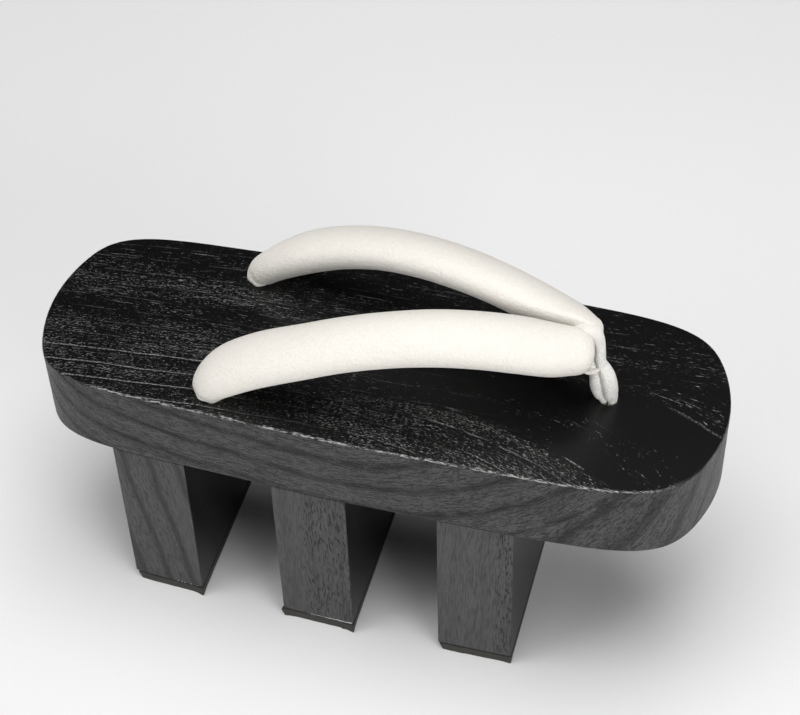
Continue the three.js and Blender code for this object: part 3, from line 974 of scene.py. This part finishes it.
def hand_cut(name, place, pad, tooth):
    """Where a point of a pad's plain block goes once it is cut to its tooth by hand, in millimetres. pad and
    tooth are their lowest and highest corners."""
    limit = half_width(min(max(place.x, tooth[0].x), tooth[1].x)) - PAD_SET_BACK
    place.y *= limit / pad[1].y if place.y > 0 else limit / -pad[0].y
    place = trimmed(PAD_TRIM[name], *tooth, place)
    ragged = noise.noise(place * 0.22 + Vector((0, 0, 9))) * PAD_RAGGED
    if place.z > (pad[0].z + pad[1].z) / 2:
        place.z += noise.noise(Vector((place.x, place.y, 3)) * 0.3) * PAD_UNEVEN
    else:
        near_heel = smoothstep(6.0, 0.0, place.x - tooth[0].x) * smoothstep(8.0, 0.0, place.y + limit)
        place.x += PAD_UNDERCUT * near_heel
    if abs(place.y) > limit - PAD_RAGGED_REACH:
        place.y += math.copysign(ragged, place.y)
    return place


def build_pads():
    rubber = pad_rubber()
    for name in TEETH:
        tooth = [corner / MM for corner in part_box(f"tooth_{name}")]
        pad = [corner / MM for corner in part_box(f"pad_{name}")]
        pad[0].x, pad[1].x = tooth[0].x - PAD_PROUD, tooth[1].x + PAD_PROUD
        bm = block_between(*pad, PAD_CUTS_ALONG)
        crosswise = [e for e in bm.edges if abs(e.verts[0].co.y - e.verts[1].co.y) > PAD_LONG_EDGE]
        bmesh.ops.subdivide_edges(bm, edges=crosswise, cuts=PAD_CUTS_ACROSS, use_grid_fill=True)
        for vert in bm.verts:
            vert.co = hand_cut(name, vert.co.copy(), pad, tooth) * MM
        bevelled(bm, sizes().pad_edge, segments=2)
        weighted_normals(finished_piece(f"pad_{name}_rubber", bm, rubber, [f"pad_{name}"]))


def build_glue():
    glue = dried_glue()
    for name, bead in GLUE_BEADS.items():
        low, high = (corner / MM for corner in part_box(f"tooth_{name}"))
        bm = bmesh.new()
        for i in range(bead["lumps"]):
            share = ((i + 0.5) / bead["lumps"]) ** (1 - 0.35 * bead["fuller"])
            x = low.x + 1.2 + (high.x - low.x - 1.8) * (bead["late"] + (1 - bead["late"]) * share)
            lump = noise.noise(Vector((x * 0.9, i * 1.7, 5.0)))
            size = GLUE_BEAD * (0.3 + 1.1 * abs(lump) + 0.35 * share * bead["fuller"])
            rise = 0.35 + 0.5 * noise.noise(Vector((x * 0.7, 2.0, 1.0))) * share
            place = Vector((x, GLUE_PRESSED_IN - half_width(x), low.z + rise))
            turn = Matrix.Rotation(lump * 2.0, 3, "Y")
            for vert in bmesh.ops.create_icosphere(bm, subdivisions=2, radius=1.0)["verts"]:
                lump_point = Vector(vert.co[k] * size * GLUE_LUMP[k] for k in range(3))
                vert.co = (turn @ lump_point + place) * MM
        finished_piece(f"glue_{name}", bm, glue)


def directions(points):
    """The way that a line through the points runs at each of them."""
    last = len(points) - 1
    return [
        (points[min(i + 1, last)] - points[max(i - 1, 0)]).normalized() for i in range(len(points))
    ]


def oval(centre, first, second, count):
    """A ring of points in metres round a centre, through the ends of two half axes in millimetres."""
    turns = [math.tau * i / count for i in range(count)]
    return [(centre + first * math.cos(a) + second * math.sin(a)) * MM for a in turns]


def strap_sections(strap):
    """The strap's rings of points, in metres: a padded roll, with its front end closed in a blunt cap."""
    side, blunt = strap["side"], strap["bluntness"]
    rows = resampled(strap["rows"], STRAP_STEP, lambda row: Vector((row[0], side * row[1], row[2])))
    centres = [Vector((row[0], side * row[1], BOARD_TOP + row[2])) for row in rows]
    tangents = directions(centres)
    rings = [strap_ring(strap, *section) for section in zip(centres, tangents, rows)]
    for step in range(1, CAP_STEPS + 1):
        along = math.sin(math.pi / 2 * step / (CAP_STEPS + 0.3))
        centre = centres[-1] + tangents[-1] * strap["cap"] * along
        rings.append(strap_ring(strap, centre, tangents[-1], rows[-1], (1 - along ** blunt) ** (1 / blunt)))
    return rings


def strap_ring(strap, centre, tangent, row, shrink=1.0):
    """One ring of points round a strap, in metres, for a row of its table."""
    side = strap["side"]
    _, _, rise, half_wide, half_thick, lean = row
    half_wide, half_thick, lean = half_wide * shrink, half_thick * shrink, math.radians(lean)
    across = Vector((0, -side * math.cos(lean), math.sin(lean)))
    across = (across - tangent * across.dot(tangent)).normalized()
    over = tangent.cross(across) * -side
    pleat = PLEAT_DEPTH * smoothstep(PLEAT_REACH, 0.0, rise)
    seam = SEAM_DEPTH * smoothstep(3.0, 10.0, rise)
    # The cover is turned in over the rear hole: a soft lip with a crease above it, on the nearer side.
    lip, crease = (
        math.exp(-(((rise - FOLD_RISE - above) / FOLD_WIDTH) ** 2)) for above in (0.0, 2.2 * FOLD_WIDTH)
    )
    fold = FOLD_DEPTH * (lip - crease)
    room = strap["press_from"] + strap["press_to"]
    points = []
    for i in range(STRAP_SEGMENTS):
        turn = math.tau * i / STRAP_SEGMENTS
        gather = 1 + pleat / half_wide * math.cos(turn * strap["pleats"] + 0.7 * math.sin(2 * turn))
        groove = seam * math.exp(-(((turn - SEAM_TURN) / SEAM_WIDTH) ** 2)) / half_thick
        lipped = fold * smoothstep(-0.2, 0.7, side * math.cos(turn + 0.35 * side)) / half_wide
        swell = gather - groove + lipped
        wide, thick = half_wide * swell * math.cos(turn), half_thick * swell * math.sin(turn)
        point = centre + across * wide + over * thick
        # Past the middle of the board, the two straps press each other flat.
        inwards = strap["press_from"] - side * point.y
        if inwards > 0:
            point.y = side * (strap["press_from"] - room * (1 - math.exp(-inwards / room)))
        points.append(point * MM)
    return points


def build_straps():
    leather = strap_leather()
    for name, strap in STRAPS.items():
        bm = skinned_tube(strap_sections(strap))
        piece = finished_piece(f"strap_{name}", bm, leather, ["thong_straps"])
    build_tucked_tip(leather)


def build_tucked_tip(leather):
    """The strap's cover ends in a small tongue, tucked into the pinch of the toe loop."""
    rows = resampled(TIP_ROWS, TIP_STEP, lambda row: Vector(row[:3]))
    centres = [Vector((row[0], row[1], BOARD_TOP + row[2])) for row in rows]
    rings = []
    for centre, tangent, row in zip(centres, directions(centres), rows):
        across = tangent.cross(Vector((0, 0, 1))).normalized()
        rings.append(oval(centre, across * row[3], across.cross(tangent) * row[4], TIP_SEGMENTS))
    finished_piece("strap_tip", skinned_tube(rings), leather)


def build_toe_loop():
    rows = resampled(LOOP_ROWS, LOOP_STEP, lambda row: Vector((row[0], 0, row[1])))
    centres = [
        Vector((row[0], LOOP_DRIFT * smoothstep(14.0, 24.0, row[1]), BOARD_TOP + row[1])) for row in rows
    ]
    across = Vector((0, 1, 0))
    rings = [
        oval(centre, tangent.cross(across) * row[2], across * row[3], LOOP_SEGMENTS)
        for centre, tangent, row in zip(centres, directions(centres), rows)
    ]
    finished_piece("toe_loop_suede", skinned_tube(rings), loop_suede(), ["toe_loop"])


def build_knots():
    """Each cord is tied off under the board in one round overhand knot."""
    cord = knot_cord()
    scale = (KNOT_RADIUS - KNOT_CORD) / 3
    for name in ("toe", "rear_right", "rear_left"):
        low, high = (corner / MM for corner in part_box(f"knot_{name}"))
        tall = (high.z - low.z) / 2 - KNOT_CORD
        path = []
        for i in range(KNOT_STEPS):
            t = math.tau * i / KNOT_STEPS
            reach = (2 + math.cos(3 * t)) * scale
            turned = Vector((reach * math.cos(2 * t), reach * math.sin(2 * t), tall * math.sin(3 * t)))
            path.append((low + high) / 2 + turned)
        rings = []
        for i, point in enumerate(path):
            tangent = (path[(i + 1) % KNOT_STEPS] - path[i - 1]).normalized()
            across = tangent.cross(Vector((0, 0, 1))).normalized()
            over = across.cross(tangent)
            rings.append(oval(point, across * KNOT_CORD, over * KNOT_CORD, KNOT_SEGMENTS))
        bm = skinned_tube(rings, closed=True)
        finished_piece(f"cord_knot_{name}", bm, cord, [f"knot_{name}"])


# ---------------------------------------------------------------- stage

FLOOR_RADIUS = 6.0  # metres

CAMERA_TARGET = Vector((-21.93, 96.09, 0.0))
CAMERA_AZIMUTH = 16.82
CAMERA_ELEVATION = 46.31
CAMERA_ROLL = -1.967
CAMERA_DISTANCE = 811.87
CAMERA_LENS = 87.86


def build_camera():
    azimuth, elevation, roll = (math.radians(a) for a in (CAMERA_AZIMUTH, CAMERA_ELEVATION, CAMERA_ROLL))
    back = Vector((
        math.sin(azimuth) * math.cos(elevation),
        -math.cos(azimuth) * math.cos(elevation),
        math.sin(elevation),
    ))
    right = Vector((0, 0, 1)).cross(back).normalized()
    up = back.cross(right)
    turned_right = right * math.cos(roll) + up * math.sin(roll)
    turned_up = up * math.cos(roll) - right * math.sin(roll)
    camera = bpy.data.objects.new("camera", bpy.data.cameras.new("camera"))
    camera.data.lens = CAMERA_LENS
    camera.data.clip_start = 0.05
    camera.data.clip_end = 20.0
    place = (CAMERA_TARGET + back * CAMERA_DISTANCE) * MM
    turn = Matrix((turned_right, turned_up, back)).transposed()
    camera.matrix_world = Matrix.Translation(place) @ turn.to_4x4()
    bpy.context.scene.collection.objects.link(camera)
    bpy.context.scene.camera = camera


SOFTBOXES = [
    # name, place in metres, width, height, power in watts
    ("softbox_overhead", (0.05, -0.05, 1.50), 1.4, 1.1, 22.8),
    ("softbox_left", (-1.25, -0.75, 0.70), 0.9, 0.8, 7.0),
    ("softbox_right", (1.20, -0.95, 0.60), 0.9, 0.8, 13.0),
]
SOFTBOX_AIM = Vector((0, 0, 0.05))
# The room's glow, as two fades that are multiplied, over the way one looks.
SKY_FADES = [
    # axis, from, to, brightness at from, brightness at to
    ("Z", 0.12, 0.5, 0.54, 0.03),
    ("Y", -0.2, 0.3, 1.0, 0.3),
]


def build_lights():
    for name, place, width, height, power in SOFTBOXES:
        light = bpy.data.objects.new(name, bpy.data.lights.new(name, "AREA"))
        light.data.shape = "RECTANGLE"
        light.data.size = width
        light.data.size_y = height
        light.data.energy = power
        light.location = place
        light.rotation_mode = "QUATERNION"
        light.rotation_quaternion = (SOFTBOX_AIM - Vector(place)).to_track_quat("-Z", "Y")
        bpy.context.scene.collection.objects.link(light)
    world = bpy.data.worlds.new("studio")
    world.use_nodes = True
    tree = world.node_tree
    background = tree.nodes["Background"]
    where = tree.nodes.new("ShaderNodeTexCoord")
    parts = tree.nodes.new("ShaderNodeSeparateXYZ")
    tree.links.new(where.outputs["Generated"], parts.inputs[0])
    fades = []
    for axis, *values in SKY_FADES:
        fade = tree.nodes.new("ShaderNodeMapRange")
        fade.interpolation_type = "SMOOTHSTEP"
        for name, value in zip(("From Min", "From Max", "To Min", "To Max"), values):
            fade.inputs[name].default_value = value
        tree.links.new(parts.outputs[axis], fade.inputs["Value"])
        fades.append(fade.outputs["Result"])
    joined = tree.nodes.new("ShaderNodeMath")
    joined.operation = "MULTIPLY"
    for socket, fade in zip(joined.inputs, fades):
        tree.links.new(fade, socket)
    tree.links.new(joined.outputs[0], background.inputs["Color"])
    bpy.context.scene.world = world


def build_floor():
    bm = bmesh.new()
    bmesh.ops.create_circle(bm, cap_ends=True, segments=96, radius=FLOOR_RADIUS)
    mesh = bpy.data.meshes.new("floor")
    bm.to_mesh(mesh)
    bm.free()
    mesh.materials.append(studio_floor())
    floor = bpy.data.objects.new("floor", mesh)
    bpy.context.scene.collection.objects.link(floor)


# ---------------------------------------------------------------- operators


class GETA_OT_stage(bpy.types.Operator):
    """Set the floor, the softboxes and the camera"""

    bl_idname = "geta.stage"
    bl_label = "Stage"

    def execute(self, context):
        build_camera()
        build_lights()
        build_floor()
        context.scene.view_settings.view_transform = "Standard"
        return {"FINISHED"}


class GETA_OT_board(bpy.types.Operator):
    """Make the lacquered foot board with its three cord holes"""

    bl_idname = "geta.board"
    bl_label = "Foot board"

    def execute(self, context):
        build_board()
        return {"FINISHED"}


class GETA_OT_teeth(bpy.types.Operator):
    """Make the three wooden teeth under the board"""

    bl_idname = "geta.teeth"
    bl_label = "Teeth"

    def execute(self, context):
        build_teeth()
        return {"FINISHED"}


class GETA_OT_pads(bpy.types.Operator):
    """Make the rubber pads under the teeth and the glue squeezed out above them"""

    bl_idname = "geta.pads"
    bl_label = "Rubber pads"

    def execute(self, context):
        build_pads()
        build_glue()
        return {"FINISHED"}


class GETA_OT_straps(bpy.types.Operator):
    """Make the two padded leather straps"""

    bl_idname = "geta.straps"
    bl_label = "Padded straps"

    def execute(self, context):
        build_straps()
        return {"FINISHED"}


class GETA_OT_toe_loop(bpy.types.Operator):
    """Make the suede loop that holds the straps down at the toe"""

    bl_idname = "geta.toe_loop"
    bl_label = "Toe loop"

    def execute(self, context):
        build_toe_loop()
        return {"FINISHED"}


class GETA_OT_knots(bpy.types.Operator):
    """Tie the three cord knots under the board"""

    bl_idname = "geta.knots"
    bl_label = "Knots"

    def execute(self, context):
        build_knots()
        return {"FINISHED"}


OPERATORS = (
    GETA_OT_stage,
    GETA_OT_board,
    GETA_OT_teeth,
    GETA_OT_pads,
    GETA_OT_straps,
    GETA_OT_toe_loop,
    GETA_OT_knots,
)


class GETA_PT_panel(bpy.types.Panel):
    """Lists the sandal's pieces, sizes and colours"""

    bl_label = "Geta sandal"
    bl_idname = "GETA_PT_panel"
    bl_space_type = "VIEW_3D"
    bl_region_type = "UI"
    bl_category = "Geta"

    def draw(self, context):
        for group in (sizes(), colours()):
            column = self.layout.column()
            for name in group.__annotations__:
                column.prop(group, name)
        for operator in OPERATORS:
            self.layout.operator(operator.bl_idname)


CLASSES = (GetaSizes, GetaColours, *OPERATORS, GETA_PT_panel)


def register():
    for cls in CLASSES:
        bpy.utils.register_class(cls)
    bpy.types.Scene.geta_sizes = PointerProperty(type=GetaSizes)
    bpy.types.Scene.geta_colours = PointerProperty(type=GetaColours)


def unregister():
    del bpy.types.Scene.geta_colours
    del bpy.types.Scene.geta_sizes
    for cls in reversed(CLASSES):
        bpy.utils.unregister_class(cls)


def main():
    register()
    bpy.ops.geta.stage()
    bpy.ops.geta.board()
    bpy.ops.geta.teeth()
    bpy.ops.geta.pads()
    bpy.ops.geta.straps()
    bpy.ops.geta.toe_loop()
    bpy.ops.geta.knots()


if __name__ == "__main__":
    main()
